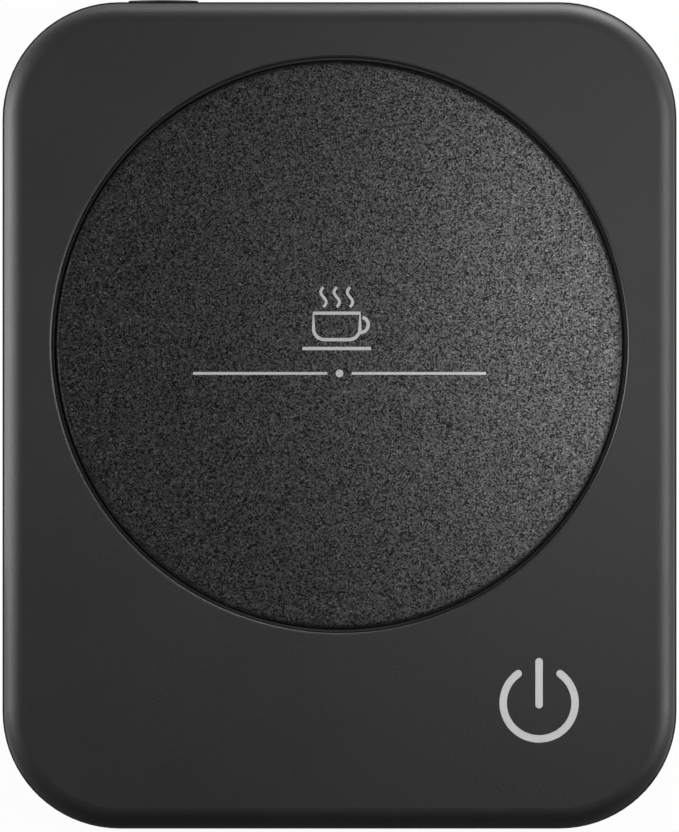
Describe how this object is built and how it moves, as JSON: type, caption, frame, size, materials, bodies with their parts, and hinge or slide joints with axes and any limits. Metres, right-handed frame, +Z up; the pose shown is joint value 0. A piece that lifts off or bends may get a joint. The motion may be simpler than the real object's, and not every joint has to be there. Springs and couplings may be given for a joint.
{
  "type": "electric mug warmer",
  "caption": "Flat desk warmer for a mug: round heating plate sunk into a rounded black housing, with a flush touch power mark at the front right",
  "frame": {"origin": "on the table surface, under the middle of the housing", "axes": "+X to the right and +Y to the rear as the user faces the power mark, +Z up out of the deck"},
  "size_m": [0.1224, 0.1503, 0.023],
  "materials": {
    "deck_plastic": "fine satin moulding, black",
    "base_plastic": "fine spark-eroded moulding, black",
    "plate_coating": "sandy heat-proof coating with metallic grains, charcoal",
    "seal_rubber": "matte silicone, black",
    "mark_plastic": "frosted translucent, off-white",
    "foot_rubber": "matte rubber, black",
    "screw_steel": "zinc plated",
    "gland_rubber": "matte, black",
    "inner_plastic": "plain moulding, black",
    "mica": "layered mica sheet, amber",
    "foil_metal": "etched resistance foil",
    "sheet_aluminium": "pressed sheet",
    "insulation": "glass fibre felt, off-white",
    "ceramic": "unglazed steatite",
    "sensor_case": "epoxy, black",
    "fuse_metal": "tinned",
    "lead_sheath": "glass fibre braid, cream",
    "dark_sheath": "smooth sheath, black",
    "white_plastic": "white reflector moulding",
    "circuit_board": "green solder mask on glass epoxy",
    "lamp_lens": "clear lens over phosphor",
    "chip_plastic": "moulded epoxy, black",
    "cable_sheath": "flat cable, grey",
    "socket_plastic": "nylon, natural",
    "terminal_plastic": "nylon, green",
    "lacquer": "dipped lacquer, blue",
    "capacitor_case": "moulded case, yellow",
    "can_sleeve": "shrunk sleeve, black",
    "tab_brass": "tinned brass"
  },
  "bodies": {
    "root": {"top_cover": "deck_plastic", "bottom_cover": "base_plastic", "heating_plate": "plate_coating", "plate_seal": "seal_rubber", "light_guide": "mark_plastic", "rubber_feet": "foot_rubber", "housing_screws": "screw_steel", "cord_gland": "gland_rubber", "cord_clamp": "inner_plastic", "cord_clamp_screws": "screw_steel", "mica_sheet_upper": "mica", "heater_foil": "foil_metal", "mica_sheet_lower": "mica", "clamp_plate": "sheet_aluminium", "insulation_pad": "insulation", "retaining_pan": "sheet_aluminium", "pan_washers": "screw_steel", "pan_nuts": "screw_steel", "sensor_bush": "ceramic", "thermistor": "sensor_case", "thermal_fuse": "fuse_metal", "thermal_fuse_sleeve": "insulation", "heater_leads": "lead_sheath", "thermal_fuse_leads": "lead_sheath", "thermistor_leads": "dark_sheath", "light_box": "white_plastic", "key_board": "circuit_board", "key_leds": "lamp_lens", "touch_spring": "screw_steel", "touch_chip": "chip_plastic", "key_board_screws": "screw_steel", "key_cable": "cable_sheath", "key_cable_sockets": "socket_plastic", "main_board": "circuit_board", "board_screws": "screw_steel", "mains_terminal": "terminal_plastic", "terminal_screws": "screw_steel", "mains_fuse": "ceramic", "varistor": "lacquer", "film_capacitor": "capacitor_case", "electrolytic_capacitor": "can_sleeve", "rectifier": "chip_plastic", "triac": "chip_plastic", "controller_chip": "chip_plastic", "heater_tabs": "tab_brass", "lead_sockets": "socket_plastic"}
  },
  "joints": []
}
